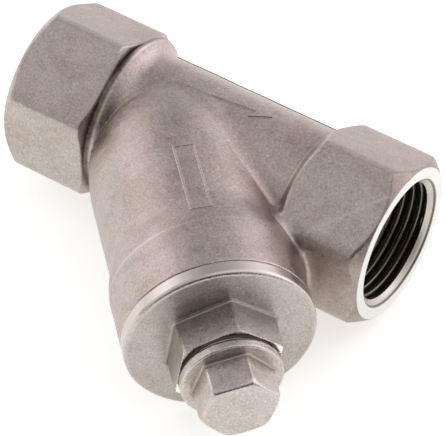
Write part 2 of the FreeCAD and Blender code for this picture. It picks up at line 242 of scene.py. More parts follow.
def new_mesh(name, v, faces):
    m = bpy.data.meshes.new(name)
    m.from_pydata((np.asarray(v) * MM).tolist(), [], faces if isinstance(faces, list) else faces.tolist())
    m.update()
    return m


def surface(name, f, lo, hi, h, limit=None):
    """Closed mesh of the surface f = 0 inside a box, thinned to at most limit triangles."""
    lo, hi = np.array(lo, float), np.array(hi, float)
    n = np.round((hi - lo) / h).astype(int) + 1
    ax = [(lo[i] + h * np.arange(n[i])).astype(F) for i in range(3)]
    d = f(ax[0][:, None, None], ax[1][None, :, None], ax[2][None, None, :])
    d = np.clip(np.broadcast_to(d, tuple(n)), -3 * h, 3 * h).astype(F)
    g = openvdb.FloatGrid(3 * h)
    g.copyFromArray(d)
    pts, quads = g.convertToQuads(isovalue=0.0)
    v = settle(f, pts * h + lo, h, 2)
    quads = np.asarray(quads)[:, ::-1]
    a, b, c = (v[quads[:, i]] for i in (0, 1, 2))
    mid = (a + c) / 2
    pick = slice(0, None, max(1, len(quads) // 4000))
    out = (np.cross(b - a, c - a)[pick] * slope_of(f, mid[pick])).sum()
    if out < 0:
        quads = quads[:, ::-1]
    m = new_mesh(name, v, quads)
    if limit and 2 * len(quads) > limit:
        o = bpy.data.objects.new(name + "_tmp", m)
        bpy.context.scene.collection.objects.link(o)
        mod = o.modifiers.new("thin", "DECIMATE")
        mod.ratio = limit / (2.0 * len(quads))
        thin = bpy.data.meshes.new_from_object(o.evaluated_get(bpy.context.evaluated_depsgraph_get()))
        bpy.data.objects.remove(o)
        bpy.data.meshes.remove(m)
        m = thin
        m.name = name
    co = np.zeros(len(m.vertices) * 3, F)
    m.vertices.foreach_get("co", co)
    v = settle(f, co.reshape(-1, 3) / MM, h, 3)
    m.vertices.foreach_set("co", (v * MM).astype(F).ravel())
    g = slope_of(f, v)
    g /= np.maximum(np.linalg.norm(g, axis=1), 1e-9)[:, None]
    m.polygons.foreach_set("use_smooth", np.ones(len(m.polygons), bool))
    m.update()
    m.normals_split_custom_set_from_vertices(g.astype(F).tolist())
    e = 0.45
    lap = sum(f(v[:, 0] + dx, v[:, 1] + dy, v[:, 2] + dz) for dx, dy, dz in
              ((e, 0, 0), (-e, 0, 0), (0, e, 0), (0, -e, 0), (0, 0, e), (0, 0, -e))) - 6 * f(v[:, 0], v[:, 1], v[:, 2])
    put(m, "curv", np.clip(lap / (e * e), -2, 2))
    return m, v


def put(m, name, values):
    a = m.attributes.new(name, "FLOAT", "POINT")
    a.data.foreach_set("value", np.asarray(values, F))


def add(name, mesh, body, material, replaces=()):
    mesh.name = name
    o = bpy.data.objects.new(name, mesh)
    bpy.context.scene.collection.objects.link(o)
    mesh.materials.clear()
    mesh.materials.append(material)
    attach(o, body)
    if replaces:
        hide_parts(*replaces)
    return o


def pipe_in(a, r, t):
    return np.stack([a, r * np.cos(t), r * np.sin(t)], -1)


def pipe_out(a, r, t):
    return np.stack([80 - a, -r * np.cos(t), r * np.sin(t)], -1)


def branch(a, r, t):
    x, y = from_branch(a, r * np.cos(t))
    return np.stack([x, y, r * np.sin(t)], -1)


def ring_strip(ids_a, ids_b):
    n = len(ids_a)
    return [(ids_a[i], ids_a[(i + 1) % n], ids_b[(i + 1) % n], ids_b[i]) for i in range(n)]


def lathe(name, profile, place, n=128, sharp=35):
    """Closed ring turned from a closed profile of (along, radius)."""
    t = np.linspace(0, 2 * np.pi, n, endpoint=False)
    v = np.concatenate([place(np.full(n, a), np.full(n, r), t) for a, r in profile])
    faces = []
    k = len(profile)
    for j in range(k):
        faces += ring_strip(list(range(j * n, j * n + n)), list(range(((j + 1) % k) * n, ((j + 1) % k) * n + n)))
    return finish_mesh(name, v, faces, sharp)


def finish_mesh(name, v, faces, sharp=35):
    import bmesh

    m = new_mesh(name, v, faces)
    bm = bmesh.new()
    bm.from_mesh(m)
    bmesh.ops.recalc_face_normals(bm, faces=bm.faces)
    bm.to_mesh(m)
    bm.free()
    m.polygons.foreach_set("use_smooth", np.ones(len(m.polygons), bool))
    m.set_sharp_from_angle(angle=math.radians(sharp))
    put(m, "curv", np.zeros(len(m.vertices)))
    return m


def rounded(points, radii, steps=4):
    """Profile with its corners rounded; radii is one number or one per corner."""
    n = len(points)
    radii = [radii] * n if not isinstance(radii, (list, tuple)) else radii
    out = []
    for i, (q, r) in enumerate(zip(points, radii)):
        q = np.array(q, float)
        a, b = np.array(points[i - 1], float) - q, np.array(points[(i + 1) % n], float) - q
        la, lb = np.linalg.norm(a), np.linalg.norm(b)
        a, b = a / la, b / lb
        half = math.acos(float(np.clip(a @ b, -1, 1))) / 2
        if r <= 0 or half > 1.55:
            out.append(tuple(q))
            continue
        cut_back = min(r / math.tan(half), 0.48 * la, 0.48 * lb)
        r = cut_back * math.tan(half)
        c = q + (a + b) / np.linalg.norm(a + b) * (r / math.sin(half))
        p0, p1 = q + a * cut_back, q + b * cut_back
        v0, v1 = p0 - c, p1 - c
        w = math.acos(float(np.clip(v0 @ v1 / (r * r), -1, 1)))
        for j in range(steps + 1):
            u = j / steps
            out.append(tuple(c + (math.sin((1 - u) * w) * v0 + math.sin(u * w) * v1) / math.sin(w)))
    return out


def threaded(name, phases, radius, pitch, a0, a1, path, place, n=160, start=0.0, sharp=32):
    """Ring with a helical thread from a0 to a1; path is the rest of its profile, from the a0 end to the a1 end."""
    K = len(phases)
    t = 2 * np.pi * np.arange(n) / n
    t0, t1 = int(math.floor((a0 - start) / pitch)) - 2, int(math.ceil((a1 - start) / pitch)) + 2
    rows = [(k, j) for k in range(t0, t1) for j in range(K)]
    u = np.array([start + (k + phases[j]) * pitch for k, j in rows])
    a = u[:, None] + pitch * t[None, :] / (2 * np.pi)
    low, high = a <= a0 + 1e-6, a >= a1 - 1e-6
    ph = np.array([phases[j] for k, j in rows])[:, None] + 0 * a
    r = radius(np.clip(a, a0, a1), ph)
    ids = np.arange(a.size).reshape(a.shape) + 2 * n
    i = np.broadcast_to(np.arange(n)[None, :], a.shape)
    ids = np.where(low, i, np.where(high, i + n, ids))
    verts = np.empty((2 * n + a.size, 3))
    verts[:n] = place(np.full(n, a0), radius(np.full(n, a0), np.zeros(n)), t)
    verts[n:2 * n] = place(np.full(n, a1), radius(np.full(n, a1), np.zeros(n)), t)
    verts[2 * n:] = place(a.ravel(), r.ravel(), np.broadcast_to(t[None, :], a.shape).ravel())
    faces = []
    nxt = np.empty_like(ids)
    nxt[:, :-1] = ids[:, 1:]
    nxt[:-K, -1] = ids[K:, 0]
    for q in range(len(rows) - 1 - K):
        for c in range(n):
            f = [ids[q, c], nxt[q, c], nxt[q + 1, c], ids[q + 1, c]]
            g = [f[w] for w in range(4) if f[w] != f[w - 1]]
            if len(set(g)) >= 3 and len(g) == len(set(g)):
                faces.append(g)
    base = len(verts)
    rings = [list(range(n))]
    for w, (pa, pr) in enumerate(path):
        verts = np.concatenate([verts, place(np.full(n, pa), np.full(n, pr), t)])
        rings.append(list(range(base + w * n, base + w * n + n)))
    rings.append(list(range(n, 2 * n)))
    for x, y in zip(rings, rings[1:]):
        faces += ring_strip(x, y)
    used = np.unique(np.concatenate([np.array(f) for f in faces]))
    remap = -np.ones(len(verts), int)
    remap[used] = np.arange(len(used))
    return finish_mesh(name, verts[used], [[int(remap[w]) for w in f] for f in faces], sharp)


def thread_profile(root, crest, flank_share, round_share=0.05):
    """Phases and radii of one pitch: crest in the middle, root at the ends, both slightly rounded."""
    c, e = 0.5, round_share
    hc = (1 - 2 * flank_share) / 4
    dr = root - crest
    bite = 0.10
    pts = [(0.0, root), (hc - e * 0.6, root), (hc + e, root - bite * dr)]
    x0, x1 = hc + e, c - hc - e
    for w in (0.33, 0.67):
        pts.append((x0 + w * (x1 - x0), root - dr * (bite + w * (1 - 2 * bite))))
    pts += [(x1, crest + bite * dr), (c - hc + e * 0.6, crest), (c, crest)]
    pts += [(1 - q, r) for q, r in reversed(pts[1:-1])]
    return [q for q, _ in pts], [r for _, r in pts]


# ---------------------------------------------------------------------------
# materials
# ---------------------------------------------------------------------------
def mat(name):
    m = bpy.data.materials.new(name)
    m.use_nodes = True
    nt = m.node_tree
    nt.nodes.clear()
    out = nt.nodes.new("ShaderNodeOutputMaterial")
    b = nt.nodes.new("ShaderNodeBsdfPrincipled")
    nt.links.new(b.outputs[0], out.inputs[0])
    return m, nt, b


def node(nt, kind, **values):
    n = nt.nodes.new(kind)
    for k, v in values.items():
        setattr(n, k, v)
    return n


def noise(nt, co, scale, detail=2.0, rough=0.5, dist=0.0):
    n = node(nt, "ShaderNodeTexNoise")
    n.inputs["Scale"].default_value = scale
    n.inputs["Detail"].default_value = detail
    n.inputs["Roughness"].default_value = rough
    n.inputs["Distortion"].default_value = dist
    nt.links.new(co, n.inputs["Vector"])
    return n.outputs["Fac"]


def ramp(nt, fac, stops):
    r = node(nt, "ShaderNodeValToRGB")
    e = r.color_ramp.elements
    while len(e) < len(stops):
        e.new(0.5)
    for el, (pos, col) in zip(e, stops):
        el.position = pos
        el.color = (*(col if hasattr(col, "__len__") else (col,) * 3), 1)
    nt.links.new(fac, r.inputs[0])
    return r.outputs[0]


def mix(nt, fac, a, b, kind="MIX"):
    m = node(nt, "ShaderNodeMix", data_type="RGBA", blend_type=kind)
    for sock, v in ((m.inputs[0], fac), (m.inputs[6], a), (m.inputs[7], b)):
        if isinstance(v, bpy.types.NodeSocket):
            nt.links.new(v, sock)
        else:
            sock.default_value = v if not hasattr(v, "__len__") else (*v, 1) if len(v) == 3 else v
    return m.outputs[2]


def math_node(nt, op, a, b=None, c=None, clamp=False):
    m = node(nt, "ShaderNodeMath", operation=op, use_clamp=clamp)
    for i, v in enumerate((a, b, c)):
        if v is None:
            continue
        if isinstance(v, bpy.types.NodeSocket):
            nt.links.new(v, m.inputs[i])
        else:
            m.inputs[i].default_value = v
    return m.outputs[0]


def ranged(nt, v, a0, a1, b0, b1):
    m = node(nt, "ShaderNodeMapRange", clamp=True)
    nt.links.new(v, m.inputs[0])
    for i, x in enumerate((a0, a1, b0, b1)):
        m.inputs[1 + i].default_value = x
    return m.outputs[0]


def bump(nt, height, distance, strength=1.0, normal=None):
    b = node(nt, "ShaderNodeBump")
    b.inputs["Strength"].default_value = strength
    b.inputs["Distance"].default_value = distance
    nt.links.new(height, b.inputs["Height"])
    if normal is not None:
        nt.links.new(normal, b.inputs["Normal"])
    return b.outputs[0]


def window(nt, v, lo, hi, soft):
    return math_node(nt, "MULTIPLY", ranged(nt, v, lo - soft, lo, 0.0, 1.0), ranged(nt, v, hi, hi + soft, 1.0, 0.0))


def body_marks(nt, co):
    """Wear on the corners of the hexagon ends, and painted shade: in the groove behind the inlet hexagon, as a line on
    the top half of the outlet hexagon's inner cone, and on the outer cone of the outlet end.
    """
    axes = node(nt, "ShaderNodeSeparateXYZ")
    nt.links.new(co, axes.inputs[0])
    x, z = axes.outputs["X"], axes.outputs["Z"]
    flat = node(nt, "ShaderNodeCombineXYZ")
    nt.links.new(axes.outputs["Y"], flat.inputs[1])
    nt.links.new(z, flat.inputs[2])
    reach = node(nt, "ShaderNodeVectorMath", operation="LENGTH")
    nt.links.new(flat.outputs[0], reach.inputs[0])
    r = reach.outputs["Value"]
    off = math_node(nt, "ABSOLUTE", math_node(nt, "SUBTRACT", x, 0.04), 0.0)
    edge = math_node(nt, "MULTIPLY", window(nt, r, 0.01780, 0.0184, 0.00035), ranged(nt, off, 0.0203, 0.0206, 0.0, 1.0))
    # painted shade in the groove between the inlet hexagon and the bead
    groove = math_node(nt, "MULTIPLY", window(nt, x, 0.0184, 0.0193, 0.0005), ranged(nt, r, 0.0163, 0.0170, 1.0, 0.0))
    # painted shade: a dark line on the top half of the outlet hexagon's inner cone
    shade_line = math_node(nt, "MULTIPLY", window(nt, x, 0.0609, 0.0614, 0.0004), ranged(nt, r, 0.0160, 0.0164, 0.32, 0.0))
    shade_line = math_node(nt, "MULTIPLY", shade_line, ranged(nt, z, -0.001, 0.001, 0.0, 1.0))
    # painted shade on the outer cone of the outlet end only
    along = math_node(nt, "ADD", x, math_node(nt, "MULTIPLY", r, 1 / 1.02))
    cheek = math_node(nt, "MULTIPLY", ranged(nt, along, 0.09490, 0.09515, 0.0, 0.40), ranged(nt, x, 0.0755, 0.0765, 0.0, 1.0))
    return edge, math_node(nt, "MAXIMUM", math_node(nt, "MAXIMUM", groove, shade_line), cheek)


def cast_steel(name, tone=1.0, cool=1.0, body=False):
    """Blasted investment-cast stainless: satin, finely grained, patchy pink tints, and a green-grey tint on faces that
    face -Y, which is a painted reflection.
    """
    m, nt, b = mat(name)
    co = node(nt, "ShaderNodeTexCoord").outputs["Object"]
    curv = node(nt, "ShaderNodeAttribute", attribute_name="curv").outputs["Fac"]
    painted_rim_highlight = node(nt, "ShaderNodeAttribute", attribute_name="painted_rim_highlight").outputs["Fac"]
    way = node(nt, "ShaderNodeSeparateXYZ")
    nt.links.new(node(nt, "ShaderNodeTexCoord").outputs["Normal"], way.inputs[0])
    # painted reflection: a green-grey tint grows where the surface faces -Y
    lean = math_node(nt, "ADD", way.outputs["Y"], ranged(nt, noise(nt, co, 75, 3, 0.6), 0.3, 0.7, -0.22, 0.22))
    patch = noise(nt, co, 88, 3, 0.6, 0.8)
    blot = noise(nt, co, 310, 4, 0.65, 0.4)
    stain = noise(nt, co, 60, 5, 0.7, 1.2)
    grain = noise(nt, co, 2500, 3, 0.75)
    fine = noise(nt, co, 5200, 1, 0.5)
    speck = noise(nt, co, 1300, 1, 0.5)

    def c(r, g, b_):
        return (r * tone, g * tone * cool, b_ * tone * cool)

    col = ramp(nt, patch, [(0.32, c(0.470, 0.405, 0.370)), (0.48, c(0.500, 0.412, 0.395)), (0.62, c(0.540, 0.428, 0.410)),
                           (0.78, c(0.565, 0.475, 0.430))])
    col = mix(nt, ranged(nt, lean, -0.30, -0.90, 0.0, 0.90 if body else 0.70), col, c(0.511, 0.488, 0.430) if body else c(0.485, 0.458, 0.400))
    col = mix(nt, ranged(nt, blot, 0.36, 0.68, 0.0, 0.45), col, c(0.590, 0.497, 0.480))
    col = mix(nt, ranged(nt, blot, 0.46, 0.28, 0.0, 0.55), col, c(0.370, 0.303, 0.280))
    col = mix(nt, ranged(nt, stain, 0.49, 0.63, 0.0, 0.62), col, c(0.440, 0.342, 0.290))
    col = mix(nt, ranged(nt, grain, 0.50, 0.30, 0.0, 0.68), col, c(0.270, 0.226, 0.212))
    col = mix(nt, ranged(nt, grain, 0.54, 0.72, 0.0, 0.66), col, c(0.800, 0.705, 0.685))
    col = mix(nt, ranged(nt, speck, 0.71, 0.78, 0.0, 0.45), col, c(0.24, 0.20, 0.18))
    col = mix(nt, ranged(nt, curv, 0.7, 1.9, 0.0, 0.14), col, c(0.72, 0.64, 0.61))
    # painted shade: darker brown where the surface is concave
    col = mix(nt, ranged(nt, curv, -0.35, -1.5, 0.0, 0.50), col, c(0.26, 0.205, 0.165))
    # painted highlight: a bright line along the collar crease
    col = mix(nt, ranged(nt, math_node(nt, "MULTIPLY", painted_rim_highlight, ranged(nt, blot, 0.25, 0.55, 0.6, 1.2)), 0.1, 1.0, 0.0, 0.36), col, c(0.88, 0.81, 0.77))
    if body:
        edge, painted_shade = body_marks(nt, co)
        col = mix(nt, math_node(nt, "MULTIPLY", edge, ranged(nt, blot, 0.25, 0.60, 0.05, 0.40)), col, c(0.72, 0.64, 0.61))
        # painted shade: dark brown in the inlet groove, on the line at the outlet hexagon and on the outlet's outer
        # cone
        col = mix(nt, math_node(nt, "MULTIPLY", painted_shade, ranged(nt, blot, 0.30, 0.60, 1.0, 0.72)), col, c(0.100, 0.068, 0.046))
    nt.links.new(col, b.inputs["Base Color"])
    b.inputs["Metallic"].default_value = 1.0
    rough = ranged(nt, grain, 0.3, 0.7, 0.31, 0.44)
    rough = math_node(nt, "SUBTRACT", rough, ranged(nt, curv, 0.5, 1.8, 0.0, 0.09))
    rough = math_node(nt, "ADD", rough, ranged(nt, blot, 0.35, 0.65, -0.03, 0.04))
    nt.links.new(rough, b.inputs["Roughness"])
    n1 = bump(nt, blot, 0.00022, 0.5)
    n2 = bump(nt, grain, 0.00006, 0.55, n1)
    n3 = bump(nt, fine, 0.00002, 0.5, n2)
    nt.links.new(n3, b.inputs["Normal"])
    return m


def turned_steel(name, axis, origin, col=(0.74, 0.72, 0.70), rough=0.24, pitch=0.00018, strength=0.35):
    """Machined stainless with the fine rings that a lathe tool leaves."""
    m, nt, b = mat(name)
    co = node(nt, "ShaderNodeTexCoord").outputs["Object"]
    sub = node(nt, "ShaderNodeVectorMath", operation="SUBTRACT")
    nt.links.new(co, sub.inputs[0])
    sub.inputs[1].default_value = [c * MM for c in origin]
    cross = node(nt, "ShaderNodeVectorMath", operation="CROSS_PRODUCT")
    nt.links.new(sub.outputs[0], cross.inputs[0])
    cross.inputs[1].default_value = axis
    radius = node(nt, "ShaderNodeVectorMath", operation="LENGTH")
    nt.links.new(cross.outputs[0], radius.inputs[0])
    dot = node(nt, "ShaderNodeVectorMath", operation="DOT_PRODUCT")
    nt.links.new(sub.outputs[0], dot.inputs[0])
    dot.inputs[1].default_value = axis
    both = math_node(nt, "ADD", radius.outputs["Value"], dot.outputs["Value"])
    comb = node(nt, "ShaderNodeCombineXYZ")
    nt.links.new(math_node(nt, "MULTIPLY", both, 1.0 / pitch), comb.inputs[0])
    rings = node(nt, "ShaderNodeTexNoise", noise_dimensions="1D")
    rings.inputs["Scale"].default_value = 1.0
    rings.inputs["Detail"].default_value = 2.0
    nt.links.new(math_node(nt, "MULTIPLY", both, 1.0 / pitch), rings.inputs["W"])
    stain = noise(nt, co, 160, 3, 0.55)
    c = ramp(nt, rings.outputs["Fac"], [(0.3, tuple(0.88 * v for v in col)), (0.7, col)])
    c = mix(nt, ranged(nt, stain, 0.40, 0.75, 0.0, 0.35), c, (col[0] * 0.86, col[1] * 0.80, col[2] * 0.74))
    nt.links.new(c, b.inputs["Base Color"])
    b.inputs["Metallic"].default_value = 1.0
    nt.links.new(ranged(nt, stain, 0.3, 0.7, rough * 0.8, rough * 1.25), b.inputs["Roughness"])
    nt.links.new(bump(nt, rings.outputs["Fac"], 0.00002, strength), b.inputs["Normal"])
    return m


def sheet_steel(name, col, rough, scale=1400):
    m, nt, b = mat(name)
    co = node(nt, "ShaderNodeTexCoord").outputs["Object"]
    a = noise(nt, co, scale, 2, 0.6)
    c = ramp(nt, noise(nt, co, 150, 3, 0.5), [(0.35, tuple(0.9 * v for v in col)), (0.65, col)])
    nt.links.new(c, b.inputs["Base Color"])
    b.inputs["Metallic"].default_value = 1.0
    nt.links.new(ranged(nt, a, 0.3, 0.7, rough * 0.85, rough * 1.2), b.inputs["Roughness"])
    nt.links.new(bump(nt, a, 0.00002, 0.4), b.inputs["Normal"])
    return m


def ptfe(name):
    m, nt, b = mat(name)
    co = node(nt, "ShaderNodeTexCoord").outputs["Object"]
    a = noise(nt, co, 420, 3, 0.5)
    c = ramp(nt, a, [(0.3, (0.80, 0.79, 0.76)), (0.7, (0.88, 0.875, 0.85))])
    nt.links.new(c, b.inputs["Base Color"])
    nt.links.new(ranged(nt, a, 0.3, 0.7, 0.42, 0.55), b.inputs["Roughness"])
    b.inputs["Subsurface Weight"].default_value = 0.1
    b.inputs["Subsurface Radius"].default_value = (0.0006, 0.0006, 0.0006)
    nt.links.new(bump(nt, a, 0.00004, 0.3), b.inputs["Normal"])
    return m


BRANCH_AXIS = (C45, -C45, 0.0)
CAST = cast_steel("cast_steel_body", 0.965, 0.99, True)
CAST_CAP = cast_steel("cast_steel_cap", 0.95, 1.06)
CAST_PLUG = cast_steel("cast_steel_plug", 1.10, 1.045)
# darkened copy of the cast steel for the strip along the back of the pipe: painted dark reflection
CAST_DARK_REFLECTION = cast_steel("cast_steel_dark_reflection", 0.55)
FACE = turned_steel("turned_face", (1, 0, 0), (0, 0, 0), (0.84, 0.82, 0.80), 0.30, 0.00030, 0.5)
# turned steel painted dark as shade, beside the lighter crest copy: flanks and roots of the pipe threads, a groove ring
# in the mouth chamfer and the land round the plug collar
SHADED_TURNED = turned_steel("turned_steel_painted_shade", (1, 0, 0), (0, 0, 0), (0.20, 0.175, 0.145), 0.28, 0.00012, 0.3)
CREST = turned_steel("turned_crest", (1, 0, 0), (0, 0, 0), (0.55, 0.53, 0.50), 0.25, 0.00012, 0.3)
CHAMFER = turned_steel("turned_chamfer", (1, 0, 0), (0, 0, 0), (0.60, 0.555, 0.51), 0.36, 0.00020, 0.5)
BRANCH_FACE = turned_steel("turned_branch_face", (C45, -C45, 0.0), (BX, 0, 0), (0.92, 0.91, 0.89), 0.22)
BRANCH_RIM = turned_steel("turned_branch_rim", (C45, -C45, 0.0), (BX, 0, 0), (0.66, 0.58, 0.56), 0.24, 0.00025, 0.5)
BRANCH_TURNED = turned_steel("turned_branch", BRANCH_AXIS, (BX, 0, 0), (0.70, 0.67, 0.64), 0.24)
TUBE_STEEL = sheet_steel("perforated_sheet", (0.66, 0.64, 0.61), 0.26)
WIRE_STEEL = sheet_steel("woven_wire", (0.62, 0.60, 0.57), 0.30, 4000)
RING_STEEL = sheet_steel("spun_ring", (0.68, 0.66, 0.63), 0.22)
PTFE = ptfe("ptfe")

# ---------------------------------------------------------------------------
# 1. the casting
# ---------------------------------------------------------------------------
H = 0.3
mesh, v = surface("casting", casting, (-0.9, -49.5, -19.2), (80.9, 19.2, 19.2), H, 186000)
add("casting", mesh, "strainer_body", CAST, ["body"])
rr = length2(v[:, 1], v[:, 2])
s, p = to_branch(v[:, 0], v[:, 1])
rb = length2(p, v[:, 2])
g = slope_of(outside, v)
g /= np.maximum(np.linalg.norm(g, axis=1), 1e-9)[:, None]
skin = outside(v[:, 0], v[:, 1], v[:, 2]) > -0.3
# painted highlight: a bright line along the crease where the barrel flares into the collar, brighter where the surface
# faces -X
rim = np.exp(-((s - 39.75) / 0.26) ** 2) * (rb > 17.6) * skin
painted_rim_highlight = rim * np.clip(0.55 - g[:, 0] * 0.9, 0.15, 1.0)
put(mesh, "painted_rim_highlight", painted_rim_highlight)
curv = np.zeros(len(v), F)
mesh.attributes["curv"].data.foreach_get("value", curv)
ends = np.abs(v[:, 0] - 40) > 20.4
mesh.attributes["curv"].data.foreach_set("value", np.where(ends & (curv > 0) & (rr < 18.6), 0, curv).astype(F))


# raised flow arrow and the empty raised frame on the barrel
def strip(u, w, a, b, half):
    """Distance in the plane from the segment a-b, less half its width."""
    dx, dy = b[0] - a[0], b[1] - a[1]
    t = np.clip(((u - a[0]) * dx + (w - a[1]) * dy) / (dx * dx + dy * dy), 0, 1)
    return length2(u - a[0] - t * dx, w - a[1] - t * dy) - half


def raised(plan, base, height):
    """A slab that stands height above base over the plan, blended into it, less what lies well below base."""
    def f(x, y, z):
        d = base(x, y, z)
        top = ri(plan(x, y, z), d - height, 0.10)
        whole = ru(d, top, 0.14)
        return np.maximum(whole + 0.006, -(d + 0.25))
    return f


def arrow_plan(x, y, z):
    w = np.arctan2(-y, z) * 14.2
    mid = -3.05 - 0.03 * (x - 36)
    shaft = np.maximum(np.abs(w - mid) - (1.25 - 0.085 * (x - 36.5)), np.abs(x - 41) - 5.5)
    tail = np.maximum(np.abs(w + 3.2) - 1.65, np.abs(x - 33.2) - 3.4)
    u, q = x - 49.4, w + 3.45
    head = np.maximum((u + 1.46 * np.abs(q)) / 1.77, -u - 3.2 + -0.28 * np.abs(q))
    return np.minimum(np.minimum(shaft, tail), head)


def frame_plan(x, y, z):
    s, p = to_branch(x, y)
    w = np.arctan2(p, z) * 16.8
    q = np.maximum(np.abs(w - 0.15) - 1.9, np.abs(s - 28.1) - 8.3)
    return np.abs(q) - 0.16


hh = 0.11
mesh, v = surface("flow_arrow", raised(arrow_plan, outside, 0.30), (27.0, -1.5, 12.6), (50.6, 7.6, 15.2), hh)
add("flow_arrow", mesh, "strainer_body", CAST)
lo_x, lo_y = from_branch(28.1, 0)
mesh, v = surface("blank_frame", raised(frame_plan, outside, 0.2), (lo_x - 9, lo_y - 9, 16.0), (lo_x + 9, lo_y + 9, 18.5), hh)
add("blank_frame", mesh, "strainer_body", CAST)

# raised dark strip along the back of the pipe: its dark tone is a painted reflection of the shaded floor behind the
# pipe
def dark_reflection_plan(x, y, z):
    w = np.arctan2(y, z) * 14.2
    wander = 0.10 * np.sin(0.5 * x) + 0.06 * np.sin(1.7 * x + 1)
    half = 0.20 + 0.05 * np.sin(0.9 * x + 2) + 0.14 * np.exp(-((x - 45.5) / 1.8) ** 2)
    return np.maximum(np.abs(w - 13.05 - wander) - half, np.abs(x - 42.3) - 19.6)


mesh, v = surface("dark_reflection_strip", raised(dark_reflection_plan, outside, 0.20), (22.0, 10.2, 7.0), (62.6, 12.6, 10.2), hh)
add("dark_reflection_strip", mesh, "strainer_body", CAST_DARK_REFLECTION)

# threaded ends: G 3/4, pitch 1.814
PHASES, RADII = thread_profile(13.22, 12.06, 1.2094 / 1.814 / 2)
XS = PHASES + [1.0]
RS = RADII + [RADII[0]]


def pipe_radius(a, ph):
    r = np.interp(ph % 1.0, XS, RS)
    fade = np.clip((15.1 - a) / 2.6, 0, 1) * np.clip((a - 1.28) / 0.8, 0, 1)
    return 12.06 + (r - 12.06) * fade


for name, place, start in (("inlet", pipe_in, 0.4), ("outlet", pipe_out, 0.9)):
    mesh = threaded(name + "_thread", PHASES, pipe_radius, 1.814, 1.28, 15.46,
                    [(0.85, 12.49), (0.44, 12.90), (0.36, 13.12), (0.20, 13.28), (0.12, 13.22), (0.0, 13.34), (0.0, 13.42), (0.0, 14.2), (0.0, 15.0), (0.0, 15.52), (0.05, 15.6), (0.4, 15.6), (0.4, 13.78), (15.46, 13.78)],
                    place, 176, start)
    o = add(name + "_thread", mesh, "strainer_body", SHADED_TURNED)
    mesh.materials.append(FACE)
    mesh.materials.append(CREST)
    mesh.materials.append(CHAMFER)
    for poly in mesh.polygons:
        c = poly.center / MM
        a = c.x if name == "inlet" else 80 - c.x
        r = math.hypot(c.y, c.z)
        if a < 0.6 and r > 13.3:
            poly.material_index = 1
        # painted shade: the small groove in the mouth chamfer keeps the dark turned steel
        elif 0.12 < a < 0.44 and 12.9 < r < 13.3:
            poly.material_index = 0
        elif a < 1.28:
            poly.material_index = 3
        elif r < 12.10 and 1.9 < a < 14.9:
            poly.material_index = 2

# branch mouth: M30 x 1.5
MP, MR = thread_profile(15.08, 14.22, 0.36)
MX, MRR = MP + [1.0], MR + [MR[0]]


def mouth_radius(a, ph):
    r = np.interp(ph % 1.0, MX, MRR)
    r = 14.2 + (r - 14.2) * np.clip((a - 40.2) / 1.5, 0, 1)
    return np.maximum(r, 15.15 - (49.3 - a))


mesh = threaded("branch_thread", MP, mouth_radius, 1.5, 39.64, 49.28, [(39.64, 15.4), (49.28, 15.4)], branch, 160, 0.2)
add("branch_thread", mesh, "strainer_body", BRANCH_TURNED)


# ---------------------------------------------------------------------------
# 2. the cap, drawn on the branch axis
# ---------------------------------------------------------------------------
def turned_hexagon(p, z, half, roll, k, lean=0.0, s=0.0):
    d = None
    for deg in (0, 60, 120):
        a = math.radians(deg + 30 + roll)
        e = np.abs(-math.sin(a) * p + math.cos(a) * z) - (half - lean * s)
        d = e if d is None else ri(d, e, k)
    return d


def cap_shape(x, y, z):
    s, p = to_branch(x, y)
    rb = length2(p, z)
    flange = ri(rb - F(18.2), (rb + s - (18.2 + 53.6 - 0.50)) * C45, 0.25)
    flange = ri(flange, s - F(53.6), 0.25)
    flange = ri(flange, 50.56 - s, 0.18)
    h = turned_hexagon(p, z, 9.61, -9.2, 0.42, 0.0324, s - 53.6)
    h = ri(h, s - F(60.7), 0.07)
    h = np.maximum(h, 51 - s)
    spigot = ri(rb - F(14.0), 41.5 - s, 0.3)
    spigot = np.maximum(spigot, s - 52)
    d = np.minimum(ru(flange, h, 0.65), ru(flange, spigot, 0.15))
    holes = np.minimum(ri(rb - F(12.2), s - 49.9, 0.3), rb - F(6.75))
    d = cut(d, holes, 0.12)
    return d + waves(x + 11, y - 7, z + 5) * 0.7


def at_branch(lo_s, hi_s, reach):
    """Box in the row frame round a stretch of the branch axis."""
    e = reach * C45
    (x0, y0), (x1, y1) = from_branch(lo_s, 0), from_branch(hi_s, 0)
    return (x0 - e, y1 - e, -reach), (x1 + e, y0 + e, reach)


lo, hi = at_branch(41.0, 61.3, 18.8)
mesh, v = surface("cap", cap_shape, lo, hi, 0.24, 150000)
add("cap_casting", mesh, "cap_unit", CAST_CAP, ["cap"])
mesh.materials.append(BRANCH_FACE)
mesh.materials.append(BRANCH_RIM)
mesh.materials.append(SHADED_TURNED)
for poly in mesh.polygons:
    c = poly.center / MM
    s, p = to_branch(c.x, c.y)
    r = math.hypot(p, c.z)
    if s > 60.62 and poly.normal.dot(Vector((C45, -C45, 0))) > 0.9:
        # inside r 9.75, round the plug collar, the end face gets the dark turned steel: painted shade
        poly.material_index = 1 if r > 9.75 else 3
    elif r > 18.0 and 50.7 < s < 53.3:
        poly.material_index = 2

CP, CR = thread_profile(14.12, 14.98, 0.36)
CX, CRR = CP + [1.0], CR + [CR[0]]


def spigot_thread(a, ph):
    r = np.interp(ph % 1.0, CX, CRR)
    r = np.minimum(r, 14.02 + np.clip(a - 41.5, 0, 2) * 1.1)
    return 14.05 + (r - 14.05) * np.clip((49.6 - a) / 0.8, 0, 1)


mesh = threaded("cap_thread", CP, spigot_thread, 1.5, 41.55, 49.9, [(41.55, 13.7), (49.9, 13.7)], branch, 160, 0.2)
add("cap_thread", mesh, "cap_unit", BRANCH_TURNED)

# bright turned face on the end of the cap's hexagon, and the drain thread, G 1/4
DP, DR = thread_profile(6.62, 5.86, 0.333)
DX, DRR = DP + [1.0], DR + [DR[0]]


